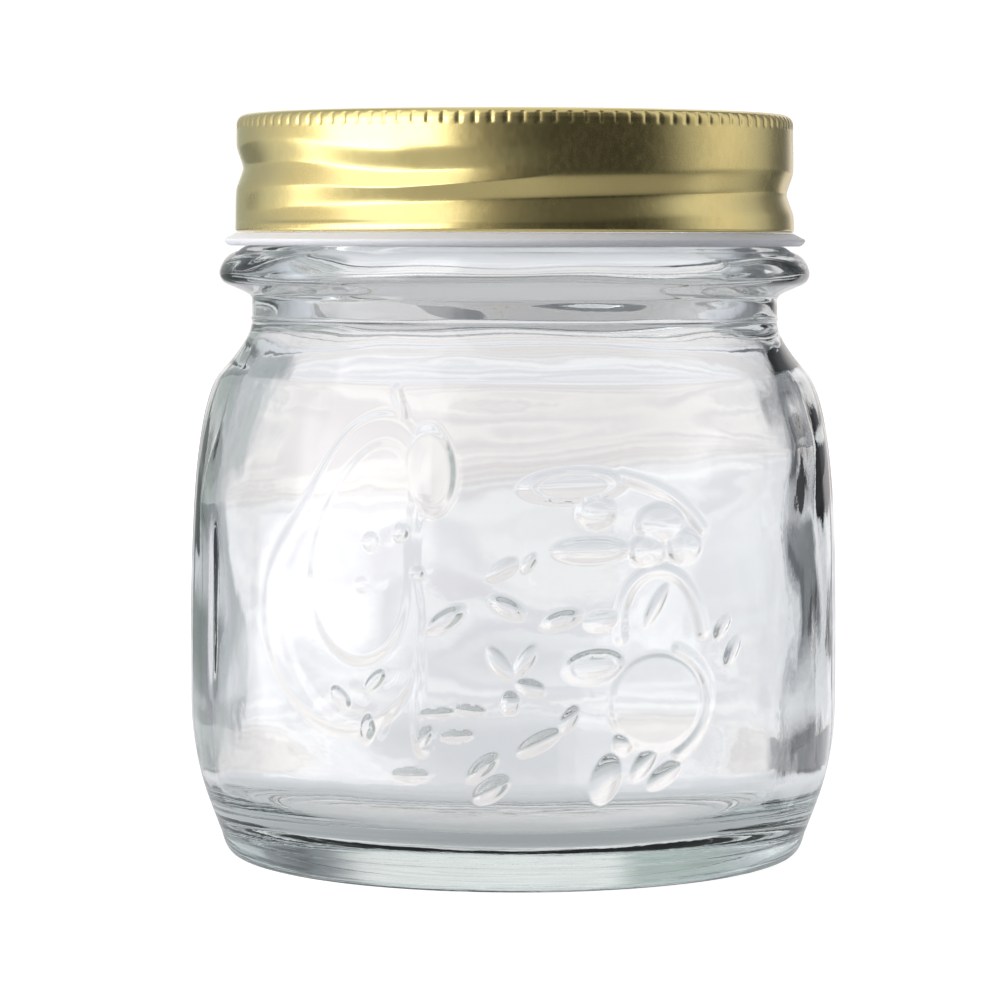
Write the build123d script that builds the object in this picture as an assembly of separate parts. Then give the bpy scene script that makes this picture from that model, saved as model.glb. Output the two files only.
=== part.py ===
from build123d import *
import math
import os

# A round glass canning jar, standing on z = 0 with its axis on Z, closed by a
# flat metal lid disc that a threaded screw band holds down.  Millimetres.
# The side that faces -Y is the front.

# ---- glass: outside -------------------------------------------------------
BODY_R = 41.8            # widest radius of the bowl
BODY_LOW = 20.0          # the widest stretch starts here ...
BODY_HIGH = 28.0         # ... and ends here, where the long shoulder begins
NECK_R = 33.95           # groove between shoulder and bead
PARTING_Z = 69.0         # mould parting line round the neck
PARTING_OUT = 0.15       # how far that line stands out
BEAD_R = 38.1            # transfer bead under the thread
BEAD_Z = 75.2            # height of its widest point
BEAD_TOP = 78.5          # flat crown the sealing ring rests on
FINISH_R = 33.6          # plain glass between the thread turns
RIM_Z = 94.2             # sealing land
PUSH_UP = 1.8            # hollow under the base

# ---- fruit and leaves pressed into the front of the bowl ---------------------
RELIEF = 0.6             # how far they stand out
RELIEF_ROOT = 0.5        # how deep their solids reach into the wall
FRUIT = [                # centre x, centre z, half width, half height, turn
    (-20.5, 31.0, 9.6, 13.0, 6),
    (-18.0, 47.0, 6.4, 9.6, -12),
    (-8.4, 51.2, 4.0, 6.0, -8),
    (17.6, 26.4, 6.8, 6.6, 0),
    (11.6, 47.4, 4.6, 4.2, 0),
]
LEAVES = [
    (3.6, 50.4, 4.6, 1.8, 16),
    (18.4, 48.0, 4.2, 1.8, -48),
    (7.0, 41.6, 4.2, 1.6, 4),
    (9.2, 30.0, 3.8, 1.7, 6),
    (-1.6, 29.4, 3.4, 1.6, 58),
    (-5.4, 15.0, 4.2, 1.8, 44),
    (6.6, 15.2, 4.0, 1.8, 22),
    (13.2, 16.4, 3.6, 1.6, 62),
    (-13.2, 17.8, 3.2, 1.5, 38),
    (22.6, 38.2, 3.6, 1.6, 74),
    (17.4, 37.6, 3.6, 1.5, 62),
]
BERRIES = [(-11.2, 42.6), (-9.8, 39.4), (19.6, 43.0), (4.4, 21.2), (-8.6, 23.2)]
BERRY_R = 1.4

# ---- glass: inside --------------------------------------------------------
CAVITY_R = 37.6          # straight part of the inner wall
FLOOR_Z = 5.2            # inner floor near the heel
FLOOR_MID = 4.9          # inner floor on the axis
MOUTH_R = 29.6           # bore at the rim
BORE_R = 28.5            # bore behind the bead

# ---- thread, shared by glass and band ---------------------------------------
PITCH = 6.35             # four turns to the inch
GROOVE_Z0 = 85.2         # height of the band's groove on the +X side
THREAD_GAP = 2.15        # glass thread centre above the band's groove centre
PATH_STEP = 10.0         # degrees between points of a thread's path

GLASS_CREST_R = 35.1     # top of the glass thread
GLASS_CREST_W = 1.4      # width of its top
GLASS_ROOT_W = 3.6       # width where it meets the finish
GLASS_FROM = -200.0      # the glass thread rises out of the finish here ...
GLASS_TO = 250.0         # ... and sinks back here (degrees)
GLASS_FADE = 30.0        # length of each run-out
GLASS_EMBED = 0.4        # how deep the thread is rooted in the glass

# ---- screw band, pressed from one sheet ---------------------------------------
SHEET = 0.28             # sheet thickness
BAND_LOW = 80.25         # bottom edge
BAND_TOP = 95.3          # top of the flange
BAND_R_LOW = 36.05       # outer radius just above the bottom curl
BAND_R_TOP = 35.85       # outer radius at the top corner
BAND_CORNER = 1.3        # outside radius of the top corner
BAND_OPEN_R = 30.8       # hole in the flange
CURL_H = 0.95            # height of the inward curl at the bottom
CURL_IN_R = 35.32        # how far in the curl reaches
GROOVE_R = 35.0          # bottom of the thread groove, outside
GROOVE_W = 1.2           # width of the groove's bottom
GROOVE_SLOPE = 1.737     # axial run of a flank for 1 mm of depth
GROOVE_FROM = -165.0     # groove starts (degrees)
GROOVE_TO = 305.0        # groove ends
FADE_IN = 40.0
FADE_OUT = 50.0

FLUTES = 116             # pressed flutes round the top corner
FLUTE_R = 0.4            # radius of the tool that presses one
FLUTE_LOW = 93.3         # where a flute runs out on the wall
FLUTE_TILT = 12.0        # lean of a flute towards the axis
FLUTE_LEN = 6.0

# ---- lid disc and its sealing compound --------------------------------------
LID_R = 34.85            # outer radius of the disc
LID_SHEET = 0.25
LID_TOP = 94.98          # top of the flat outer flange
LID_LIP_Z = 93.95        # lower edge of the turned-down rim
LID_CORNER = 0.4
PANEL_R = 29.35          # where the flange steps down to the panel
PANEL_TOP = 93.9         # top of the recessed panel
STEP_RUN = 0.8           # radial length of that step
BUTTON_R = 12.5          # foot of the central dome
BUTTON_RISE = 0.55
BEAD_RING_R = 22.0       # raised stiffening ring in the panel
BEAD_RING_W = 1.6
BEAD_RING_RISE = 0.25

SEAL_IN_R = 29.9
SEAL_OUT_R = 33.9
SEAL_LOW = 94.22
SEAL_EDGE = 0.5

# ---- sealing ring on the bead -----------------------------------------------
RING_IN_R = 33.68
RING_OUT_R = 37.5
RING_LOW = 78.52
RING_TOP = 80.2
RING_EDGE_Z = 79.3       # height of its sharp outer edge
RING_TOP_R = 35.9        # where the top face starts to slope down
RING_FOOT_R = 37.0


def turned(edges):
    """Spin a closed outline, drawn as (radius, height), round the Z axis."""
    return revolve(Plane.XZ * make_face(edges), Axis.Z)


def closed(points):
    """A closed outline of straight sides."""
    return Polyline(*points, close=True).edges()


def cap(radius, edge, middle):
    """A shallow arc centred on the axis, from the axis out to a radius."""
    rise = middle - edge
    big = (radius ** 2 + rise ** 2) / (2 * abs(rise))
    sag = big - math.sqrt(big ** 2 - radius ** 2 / 4)
    half = middle - math.copysign(sag, rise)
    return ThreePointArc((0, middle), (radius / 2, half), (radius, edge))


def half_plane(angle):
    """The plane through the axis at an angle: x runs outwards, y runs up."""
    a = math.radians(angle)
    out = (math.cos(a), math.sin(a), 0)
    side = (math.sin(a), -math.cos(a), 0)
    return Plane(origin=(0, 0, 0), x_dir=out, z_dir=side)


def ease(t):
    """0 to 1 with a soft start and a soft end."""
    t = min(max(t, 0.0), 1.0)
    return t * t * (3 - 2 * t)


def thread_solid(section, radius, lift, start, stop, fade_in, fade_out, shift):
    """Sweep a section along a right-hand screw line.

    section lists (radius, height above the line); shift is how far the two
    ends of the line are moved outwards (or inwards, if negative) so that the
    thread fades away.
    """
    def offset(angle):
        near = ease((angle - start) / fade_in)
        far = ease((stop - angle) / fade_out)
        return shift * (1 - near * far)

    def height(angle):
        return GROOVE_Z0 + lift + PITCH * angle / 360

    points = []
    steps = round((stop - start) / PATH_STEP)
    for i in range(steps + 1):
        angle = start + (stop - start) * i / steps
        a = math.radians(angle)
        r = radius + offset(angle)
        points.append((r * math.cos(a), r * math.sin(a), height(angle)))
    path = Spline(*points)
    moved = [(r + shift, z + height(start)) for r, z in section]
    face = half_plane(start) * make_face(closed(moved))
    spine = Line((0, 0, height(start)), (0, 0, height(stop)))
    return sweep(face, path=path, binormal=spine)


def trapezoid(r_narrow, narrow, r_wide, wide):
    """A section that is narrow at one radius and wide at another."""
    return [
        (r_narrow, -narrow / 2),
        (r_narrow, narrow / 2),
        (r_wide, wide / 2),
        (r_wide, -wide / 2),
    ]


# ---------------------------------------------------------------- glass jar --
HEEL = (38.2, 3.3)
MID_SHOULDER = (37.74, 62.46)


def bowl_side(grow):
    """The bowl's outside from heel to shoulder, moved outwards."""
    wide = BODY_R + grow
    low = (HEEL[0] + grow, HEEL[1])
    high = (MID_SHOULDER[0] + grow, MID_SHOULDER[1])
    return [
        Bezier(low, (39.3 + grow, 6.4), (wide, 11.5), (wide, BODY_LOW)),
        Line((wide, BODY_LOW), (wide, BODY_HIGH)),
        Bezier((wide, BODY_HIGH), (wide, 40.4), (41.39 + grow, 58.45), high),
    ]


def make_relief():
    """Raised fruit and leaves: a thin skin of the bowl, cut to their shapes."""
    ends = [
        Line((r - RELIEF_ROOT, z), (r + RELIEF, z)) for r, z in (HEEL, MID_SHOULDER)
    ]
    skin = turned(bowl_side(RELIEF) + bowl_side(-RELIEF_ROOT) + ends)
    shapes = Sketch()
    for x, z, half_w, half_h, turn in FRUIT + LEAVES:
        shapes += Pos(x, z) * Rot(0, 0, turn) * Ellipse(half_w, half_h)
    for x, z in BERRIES:
        shapes += Pos(x, z) * Circle(BERRY_R)
    front = Plane.XZ.offset(BODY_R * 0.5)
    return skin & extrude(front * shapes, BODY_R)


def make_jar():
    base_edge = (38.05, 3.2)         # top of the base plate's own band
    neck_foot = (NECK_R, PARTING_Z)
    bead_under = (37.2, 73.6)
    bead_out = (BEAD_R, BEAD_Z)
    bead_over = (35.7, 77.85)
    crown = (34.3, BEAD_TOP)
    outside = [
        cap(31, 1.2, PUSH_UP),
        Bezier((31, 1.2), (32.2, 1.15), (32.6, 0), (34, 0)),
        Line((34, 0), (35.6, 0)),
        Bezier((35.6, 0), (37, 0), (37.6, 1), base_edge),
        Line(base_edge, HEEL),
        *bowl_side(0),
        Bezier(MID_SHOULDER, (36.38, 63.95), (NECK_R, 66.9), neck_foot),
        Polyline(
            neck_foot,
            (NECK_R + PARTING_OUT, PARTING_Z + 0.1),
            (NECK_R + PARTING_OUT, PARTING_Z + 0.3),
            (NECK_R, PARTING_Z + 0.4),
            (NECK_R, 71.9),
        ),
        Bezier((NECK_R, 71.9), (NECK_R, 72.3), (34.5, 72.5), bead_under),
        ThreePointArc(bead_under, (37.92, 74.3), bead_out),
        ThreePointArc(bead_out, (37.35, 76.8), bead_over),
        Bezier(bead_over, (35.2, 78.2), (34.8, BEAD_TOP), crown),
        Polyline(crown, (FINISH_R, BEAD_TOP), (FINISH_R, RIM_Z - 1.3)),
    ]
    rim = [
        ThreePointArc((FINISH_R, RIM_Z - 1.3), (33.22, RIM_Z - 0.38), (32.3, RIM_Z)),
        Line((32.3, RIM_Z), (30.8, RIM_Z)),
        ThreePointArc((30.8, RIM_Z), (29.95, RIM_Z - 0.35), (MOUTH_R, RIM_Z - 1.2)),
    ]
    inner_shoulder = (32.4, 64.5)
    inside = [
        Line((MOUTH_R, RIM_Z - 1.2), (BORE_R, 76)),
        Bezier((BORE_R, 76), (28.2, 71.5), (30.6, 68.5), inner_shoulder),
        Bezier(inner_shoulder, (34, 60.5), (CAVITY_R, 56), (CAVITY_R, 45)),
        Line((CAVITY_R, 45), (CAVITY_R, 14)),
        Bezier((CAVITY_R, 14), (CAVITY_R, 8), (34.5, 5.4), (27.5, FLOOR_Z)),
        cap(27.5, FLOOR_Z, FLOOR_MID),
        Line((0, FLOOR_MID), (0, PUSH_UP)),
    ]
    body = turned(outside + rim + inside)

    rooted_r = FINISH_R - GLASS_EMBED
    flare = (GLASS_ROOT_W - GLASS_CREST_W) / (GLASS_CREST_R - FINISH_R)
    rooted_w = GLASS_ROOT_W + flare * GLASS_EMBED
    section = trapezoid(GLASS_CREST_R, GLASS_CREST_W, rooted_r, rooted_w)
    sunk = -(GLASS_CREST_R - FINISH_R) - 0.2
    thread = thread_solid(
        section, GLASS_CREST_R, THREAD_GAP, GLASS_FROM, GLASS_TO,
        GLASS_FADE, GLASS_FADE, sunk,
    )
    return body + thread + make_relief()


# --------------------------------------------------------------- screw band --
def groove(depth_shift):
    """The cutter for the thread groove, or for its inner side when the sheet
    thickness is given."""
    r = GROOVE_R - depth_shift
    grown = depth_shift * (math.hypot(1, GROOVE_SLOPE) - GROOVE_SLOPE)
    narrow = GROOVE_W + 2 * grown
    reach = BAND_R_LOW + 0.6 - r
    wide = narrow + 2 * GROOVE_SLOPE * reach
    out = BAND_R_LOW - GROOVE_R + 0.15
    section = trapezoid(r, narrow, r + reach, wide)
    return thread_solid(
        section, r, 0, GROOVE_FROM, GROOVE_TO, FADE_IN, FADE_OUT, out,
    )


def flutes(grow):
    """The tools that press the flutes round the top corner."""
    axis_r = BAND_R_TOP + FLUTE_R
    tool = Rot(0, -FLUTE_TILT, 0) * Cylinder(FLUTE_R + grow, FLUTE_LEN)
    return [
        spot * Pos(0, 0, FLUTE_LOW) * tool
        for spot in PolarLocations(axis_r, FLUTES)
    ]


def make_band():
    corner_z = BAND_TOP - BAND_CORNER
    corner_r = BAND_R_TOP - BAND_CORNER
    corner_mid = BAND_CORNER * math.sqrt(0.5)
    curl_mid = (BAND_R_LOW + CURL_IN_R) / 2
    shell = turned([
        Line((0, BAND_LOW), (curl_mid, BAND_LOW)),
        ThreePointArc(
            (curl_mid, BAND_LOW),
            (BAND_R_LOW - 0.11, BAND_LOW + 0.11),
            (BAND_R_LOW, BAND_LOW + 0.4),
        ),
        Line((BAND_R_LOW, BAND_LOW + 0.4), (BAND_R_TOP, corner_z)),
        ThreePointArc(
            (BAND_R_TOP, corner_z),
            (corner_r + corner_mid, corner_z + corner_mid),
            (corner_r, BAND_TOP),
        ),
        Polyline((corner_r, BAND_TOP), (0, BAND_TOP), (0, BAND_LOW)),
    ])
    shell = shell - groove(0) - flutes(0)

    inner_corner = BAND_CORNER - SHEET
    inner_mid = inner_corner * math.sqrt(0.5)
    under = BAND_TOP - SHEET - 0.02
    core = turned([
        Line((0, BAND_LOW - 1), (BAND_R_LOW - SHEET, BAND_LOW - 1)),
        Line((BAND_R_LOW - SHEET, BAND_LOW - 1), (BAND_R_TOP - SHEET, corner_z)),
        ThreePointArc(
            (BAND_R_TOP - SHEET, corner_z),
            (corner_r + inner_mid, corner_z + inner_mid),
            (corner_r, under),
        ),
        Polyline((corner_r, under), (0, under), (0, BAND_LOW - 1)),
    ])
    core = core - groove(SHEET) - flutes(SHEET)

    curl_top = BAND_LOW + CURL_H
    curl = turned([
        Line((CURL_IN_R + 0.3, BAND_LOW), (BAND_R_LOW - 0.2, BAND_LOW)),
        Line((BAND_R_LOW - 0.2, BAND_LOW), (BAND_R_LOW - 0.1, curl_top)),
        Line((BAND_R_LOW - 0.1, curl_top), (CURL_IN_R + 0.4, curl_top)),
        ThreePointArc(
            (CURL_IN_R + 0.4, curl_top),
            (CURL_IN_R, BAND_LOW + CURL_H / 2),
            (CURL_IN_R + 0.3, BAND_LOW),
        ),
    ])
    hole = Pos(0, 0, BAND_TOP) * Cylinder(BAND_OPEN_R, 3)
    return shell - core - hole + curl


# ----------------------------------------------------------------- lid disc --
def lid_outline(drop):
    """Top line of the lid sheet from the axis out, or its underside when the
    sheet thickness is given."""
    top = LID_TOP - drop
    panel = PANEL_TOP - drop
    ring_in = BEAD_RING_R - BEAD_RING_W
    ring_out = BEAD_RING_R + BEAD_RING_W
    out_r = LID_R - drop
    corner = LID_CORNER - drop
    mid = corner * math.sqrt(0.5)
    return [
        cap(BUTTON_R, panel, panel + BUTTON_RISE),
        Line((BUTTON_R, panel), (ring_in, panel)),
        ThreePointArc(
            (ring_in, panel),
            (BEAD_RING_R, panel + BEAD_RING_RISE),
            (ring_out, panel),
        ),
        Line((ring_out, panel), (PANEL_R - STEP_RUN, panel)),
        Line((PANEL_R - STEP_RUN, panel), (PANEL_R, top)),
        Line((PANEL_R, top), (out_r - corner, top)),
        ThreePointArc(
            (out_r - corner, top),
            (out_r - corner + mid, top - corner + mid),
            (out_r, top - corner),
        ),
        Line((out_r, top - corner), (out_r, LID_LIP_Z)),
    ]


def make_lid():
    upper = lid_outline(0)
    lower = lid_outline(LID_SHEET)
    lip = Line((LID_R, LID_LIP_Z), (LID_R - LID_SHEET, LID_LIP_Z))
    spine = Line(
        (0, PANEL_TOP + BUTTON_RISE),
        (0, PANEL_TOP + BUTTON_RISE - LID_SHEET),
    )
    return turned(upper + lower + [lip, spine])


def make_compound():
    top = LID_TOP - LID_SHEET
    return turned(closed([
        (SEAL_IN_R, top),
        (SEAL_IN_R + SEAL_EDGE, SEAL_LOW),
        (SEAL_OUT_R - SEAL_EDGE, SEAL_LOW),
        (SEAL_OUT_R, top),
    ]))


# ------------------------------------------------------------- sealing ring --
def make_ring():
    return turned(closed([
        (RING_IN_R, RING_LOW),
        (RING_FOOT_R, RING_LOW),
        (RING_OUT_R, RING_EDGE_Z),
        (RING_TOP_R, RING_TOP),
        (RING_IN_R, RING_TOP),
    ]))


os.makedirs("parts", exist_ok=True)
export_step(make_jar(), "parts/glass_jar.step")
export_step(make_ring(), "parts/shoulder_ring.step")
export_step(make_lid(), "parts/lid_disc.step")
export_step(make_compound(), "parts/sealing_compound.step")
export_step(make_band(), "parts/screw_band.step")
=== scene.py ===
import math

import bpy
import numpy as np
from mathutils import Matrix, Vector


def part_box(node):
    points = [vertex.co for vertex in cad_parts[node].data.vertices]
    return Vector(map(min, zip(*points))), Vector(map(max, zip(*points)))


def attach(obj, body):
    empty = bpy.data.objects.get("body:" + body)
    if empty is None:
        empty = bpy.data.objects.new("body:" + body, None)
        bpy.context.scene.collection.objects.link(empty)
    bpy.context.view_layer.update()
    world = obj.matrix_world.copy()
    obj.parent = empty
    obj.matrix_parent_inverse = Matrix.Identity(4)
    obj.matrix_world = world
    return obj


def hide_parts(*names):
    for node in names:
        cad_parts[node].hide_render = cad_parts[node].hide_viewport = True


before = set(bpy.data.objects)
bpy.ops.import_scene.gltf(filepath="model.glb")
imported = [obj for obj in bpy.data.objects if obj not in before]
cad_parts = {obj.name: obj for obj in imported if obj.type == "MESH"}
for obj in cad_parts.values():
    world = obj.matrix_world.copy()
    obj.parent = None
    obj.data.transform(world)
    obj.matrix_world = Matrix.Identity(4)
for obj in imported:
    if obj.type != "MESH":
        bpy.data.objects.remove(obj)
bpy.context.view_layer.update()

# Lengths are in millimetres where a comment doesn't say metres; MM makes them metres.
MM = 0.001
TAU = 2 * math.pi


# ---------------------------------------------------------------- dimensions
def cad_size(node):
    """A round CAD node's outer radius, lowest point and highest point."""
    low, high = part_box(node)
    return [round(float(value) / MM, 2) for value in (high[0], low[2], high[2])]


BODY_R, _, RIM_Z = cad_size("glass_jar")
BAND_R, BAND_LOW, BAND_TOP = cad_size("screw_band")
LID_R, _, LID_TOP = cad_size("lid_disc")

FRONT = -math.pi / 2         # angle of the side that faces the camera
FINISH_R = 33.6              # glass under the band
NECK_R = 33.95
CAVITY_R = 37.6
BEAD_TOP = 78.5

MOULD_SEAMS = (-88, 92)      # degrees round from the front
SEAM_HEIGHT = 0.10
SEAM_WIDTH = 0.28
INSIDE_SHIFT = 1.0           # the inside sits this far to the left of the outside
SWELL = 0.20                 # slow swells of the inside
STREAK_AT = -69              # degrees round from the front, one thicker streak inside
STREAK_DEPTH = 0.22
STREAK_WIDTH = 0.9

PITCH = 6.35                 # thread pitch
GROOVE_Z0 = 85.2             # band groove height on the +X side
GROOVE_DEPTH = 0.95
GROOVE_HIGH = 0.6            # how far the groove sits above its screw line at the front
GROOVE_DROP = 2.0            # how far its upper end falls below the screw line
THREAD_GAP = 2.15            # glass thread centre above the groove centre
THREAD_DEPTH = 1.5

BAND_TAPER = 0.2             # the band is this much slimmer at its top
BAND_CORNER = 1.3
BAND_SHEET = 0.28
FLUTES = 116
FLUTE_DEPTH = 0.12
FLUTE_WIDTH = 0.3
DENT = 0.035

LID_SHEET = 0.25
PANEL_Z = 93.9               # top of the lid's low panel
LIP_Z = 93.95                # foot of the lid's turned-down rim

FINE_ARC = 52                # degrees each side of the front with fine columns
FINE_STEP = 0.25             # degrees between columns there
COARSE_STEP = 0.6            # and elsewhere
BAND_COLUMNS = 10 * FLUTES
LID_COLUMNS = 288
RING_COLUMNS = 576

CAMERA_AT = (0.0, -0.520, 0.0796)    # metres
CAMERA_LENS = 144.37
CAMERA_SENSOR = 36.0
CAMERA_DOWN = 3.745          # degrees below level
CAMERA_YAW = 0.20            # degrees
CAMERA_ROLL = 0.12           # degrees


# ------------------------------------------------------------- small helpers
def smooth(x, low, high):
    """0 below low, 1 above high, with soft ends."""
    t = np.clip((x - low) / (high - low), 0, 1)
    return t * t * (3 - 2 * t)


def soft_clip(x, knee):
    """Clamp to 0..1 with rounded knees."""
    return 0.5 * (np.sqrt(x * x + knee * knee) - np.sqrt((x - 1) ** 2 + knee * knee) + 1)


def line(a, b, step):
    """Points on a straight run, from a up to but not b."""
    a, b = np.array(a, float), np.array(b, float)
    n = max(1, math.ceil(np.linalg.norm(b - a) / step))
    t = np.linspace(0, 1, n + 1)[:-1, None]
    return a + (b - a) * t


def path(points, step):
    """Straight runs through several points, without the last."""
    return np.vstack([line(a, b, step) for a, b in zip(points, points[1:])])


def bezier(p, step):
    """Evenly spaced points on a cubic curve, without its end."""
    p = np.array(p, float)
    t = np.linspace(0, 1, 200)[:, None]

    def at(t):
        return ((1 - t) ** 3 * p[0] + 3 * (1 - t) ** 2 * t * p[1]
                + 3 * (1 - t) * t * t * p[2] + t ** 3 * p[3])

    seg = np.linalg.norm(np.diff(at(t), axis=0), axis=1)
    run = np.concatenate([[0], np.cumsum(seg)])
    n = max(2, math.ceil(run[-1] / step))
    u = np.interp(np.linspace(0, run[-1], n + 1)[:-1], run, t[:, 0])
    return at(u[:, None])


def arc(a, m, b, step):
    """Points on the circle through three points, from a up to but not b."""
    (ax, ay), (mx, my), (bx, by) = a, m, b
    d = 2 * (ax * (my - by) + mx * (by - ay) + bx * (ay - my))
    a2, m2, b2 = ax * ax + ay * ay, mx * mx + my * my, bx * bx + by * by
    cx = (a2 * (my - by) + m2 * (by - ay) + b2 * (ay - my)) / d
    cy = (a2 * (bx - mx) + m2 * (ax - bx) + b2 * (mx - ax)) / d
    r = math.hypot(ax - cx, ay - cy)
    t0 = math.atan2(ay - cy, ax - cx)
    tm = math.atan2(my - cy, mx - cx)
    t1 = math.atan2(by - cy, bx - cx)
    if (tm - t0) % TAU < (t1 - t0) % TAU:
        sweep = (t1 - t0) % TAU
    else:
        sweep = -((t0 - t1) % TAU)
    n = max(2, math.ceil(abs(sweep) * r / step))
    t = t0 + sweep * np.linspace(0, 1, n + 1)[:-1]
    return np.stack([cx + r * np.cos(t), cy + r * np.sin(t)], axis=1)


def waves(theta, z, seed, count, round_waves, tall_waves):
    """A sum of soft ripples that closes round the axis, about -1 to 1."""
    r = np.random.default_rng(seed)
    total = np.zeros(np.broadcast(theta, z).shape)
    for _ in range(count):
        k = int(r.integers(round_waves[0], round_waves[1] + 1))
        length = r.uniform(*tall_waves)
        turn, rise = r.uniform(0, TAU, 2)
        lean = r.uniform(-0.4, 0.4)
        swing = np.sin(k * theta + turn + lean * TAU * z / length)
        total = total + swing * np.cos(TAU * z / length + rise)
    return total / math.sqrt(count)


def mesh_object(name, grid, loop=False, poles=(False, False), sharp=40):
    """A mesh from rings of points: grid[s, t] runs along the outline and then
    round the axis. loop joins the last ring to the first; poles says which end
    rings have shrunk to a point."""
    rows, cols, _ = grid.shape
    index = np.arange(rows * cols).reshape(rows, cols)
    verts = grid.reshape(-1, 3) * MM
    keep = np.ones(rows * cols, bool)
    for end, pole in zip((0, rows - 1), poles):
        if pole:
            index[end, :] = index[end, 0]
            keep[end * cols + 1:(end + 1) * cols] = False
    renum = np.cumsum(keep) - 1
    index = renum[index]
    a = index if loop else index[:-1]
    b = np.roll(index, -1, axis=0) if loop else index[1:]
    quads = np.stack(
        [a, np.roll(a, -1, axis=1), np.roll(b, -1, axis=1), b], axis=-1
    ).reshape(-1, 4)
    faces = []
    for q in quads.tolist():
        if q[0] == q[1]:
            q = q[1:]
        elif q[2] == q[3]:
            q = q[:3]
        faces.append(q)
    mesh = bpy.data.meshes.new(name)
    mesh.from_pydata(verts[keep].tolist(), [], faces)
    mesh.validate()
    mesh.shade_smooth()
    mesh.set_sharp_from_angle(angle=math.radians(sharp))
    obj = bpy.data.objects.new(name, mesh)
    bpy.context.scene.collection.objects.link(obj)
    return obj


def spin(r, z, theta):
    """Turn radius and height arrays into points round the axis."""
    r, z, t = np.broadcast_arrays(r, z, theta)
    return np.stack([r * np.cos(t), r * np.sin(t), z], axis=-1)


def groove_wander(deg):
    """How far the rolled groove strays from its screw line, in mm."""
    front = smooth(deg, -170, -140) * (1 - smooth(deg, -30, -5))
    return GROOVE_HIGH * front - GROOVE_DROP * smooth(deg, 212, 250)


# where each starts and stops, in degrees, and its section, in mm
GLASS_THREAD = dict(
    start=-200, stop=250, fade_in=30, fade_out=30,
    lift=THREAD_GAP, half_top=0.7, half_root=1.8, knee=0.1,
)
BAND_GROOVE = dict(
    start=-178, stop=284, fade_in=45, fade_out=44,
    lift=0.0, half_top=0.2, half_root=2.65, knee=0.18, wander=groove_wander,
)


def thread_height(theta, z, start, stop, fade_in, fade_out, lift, half_top, half_root,
                  knee, wander=None):
    """How far a thread stands out, 0 to 1, at an angle (radians) and height."""
    total = np.zeros(np.broadcast(theta, z).shape)
    for turn in (-2, -1, 0, 1):
        deg = np.degrees(theta) + 360 * turn
        near = smooth(deg, start, start + fade_in)
        far = 1 - smooth(deg, stop - fade_out, stop)
        line_z = GROOVE_Z0 + lift + PITCH * deg / 360
        if wander:
            line_z = line_z + wander(deg)
        w = np.abs(z - line_z)
        flank = soft_clip((half_root - w) / (half_root - half_top), knee)
        total = np.maximum(total, flank * near * far)
    return total


# --------------------------------------------------------- relief on the glass
# Raised fruit, leaves and seeds on the front of the bowl, seen from the front:
# centre x, centre z, half width, half height, turn in degrees.
PEAR = [(-20.8, 33.6, 10.4, 14.6, 4), (-17.6, 48.6, 7.2, 10.8, -14)]
PEAR_INSIDE = [(-18.6, 38.0, 6.4, 10.4, 2), (-17.2, 47.4, 5.0, 8.6, -16)]
LOBES = [(17.8, 45.2, 3.4, 2.7, 0), (16.2, 42.0, 2.6, 2.3, 0), (20.6, 42.4, 2.5, 2.4, 0)]
DOMES = [
    (-10.4, 51.8, 3.4, 5.8, 6),        # second fruit behind the pear
    (9.9, 46.9, 2.6, 2.3, 0),
    (17.2, 23.6, 6.0, 6.2, 0),         # apple
    (-13.7, 44.2, 1.5, 1.8, 0),
    (-17.2, 43.0, 1.8, 1.9, 0),
    (-18.2, 37.7, 1.8, 1.9, 0),
]
LEAVES = [                             # these carry a second, inner outline
    (7.2, 49.9, 7.2, 2.3, 3),
    (9.3, 42.2, 5.2, 1.7, 1),
    (9.6, 28.2, 4.1, 2.2, 8),
    (-2.7, 13.3, 2.8, 1.4, 34),
    (-3.7, 16.0, 2.7, 1.1, 42),
    (-8.2, 33.8, 3.1, 1.3, 34), (-0.8, 35.4, 2.7, 1.2, -26), (5.6, 33.9, 3.0, 1.2, 16),
    (-16.6, 26.2, 2.9, 1.2, 50),
    (-20.8, 24.0, 2.5, 1.3, -50),
    (-17.6, 20.6, 2.4, 1.1, 80),
]
SEEDS = [
    (-20.2, 41.5, 1.6, 0.9, -20), (-16.4, 40.6, 1.4, 1.0, 10), (-11.9, 39.4, 1.1, 0.9, 0),
    (-1.4, 39.9, 2.2, 1.0, 32), (1.8, 40.7, 1.3, 0.6, 52), (10.6, 33.6, 2.3, 1.2, 8),
    (17.2, 35.4, 2.9, 0.8, 62), (25.4, 32.4, 1.7, 0.8, 60), (26.7, 29.4, 2.0, 0.8, 66),
    (-1.7, 28.6, 2.5, 1.1, -56), (1.4, 29.0, 2.3, 1.0, 58), (2.0, 25.7, 1.9, 1.0, -15),
    (-0.4, 23.9, 1.1, 1.4, 0), (-6.8, 19.8, 2.0, 0.6, 4), (-10.9, 19.4, 1.7, 0.8, 56),
    (-9.4, 22.4, 2.4, 0.6, 6), (-5.2, 22.9, 1.9, 0.6, -6), (3.1, 19.1, 3.0, 1.0, 28),
    (6.6, 21.8, 1.9, 0.9, 58), (-12.5, 14.8, 2.3, 0.8, 0), (11.2, 14.4, 1.8, 3.2, -14),
    (13.2, 18.8, 1.3, 1.4, 0), (15.8, 16.2, 2.5, 1.1, 58), (18.4, 14.6, 2.4, 1.2, 38),
]
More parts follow.
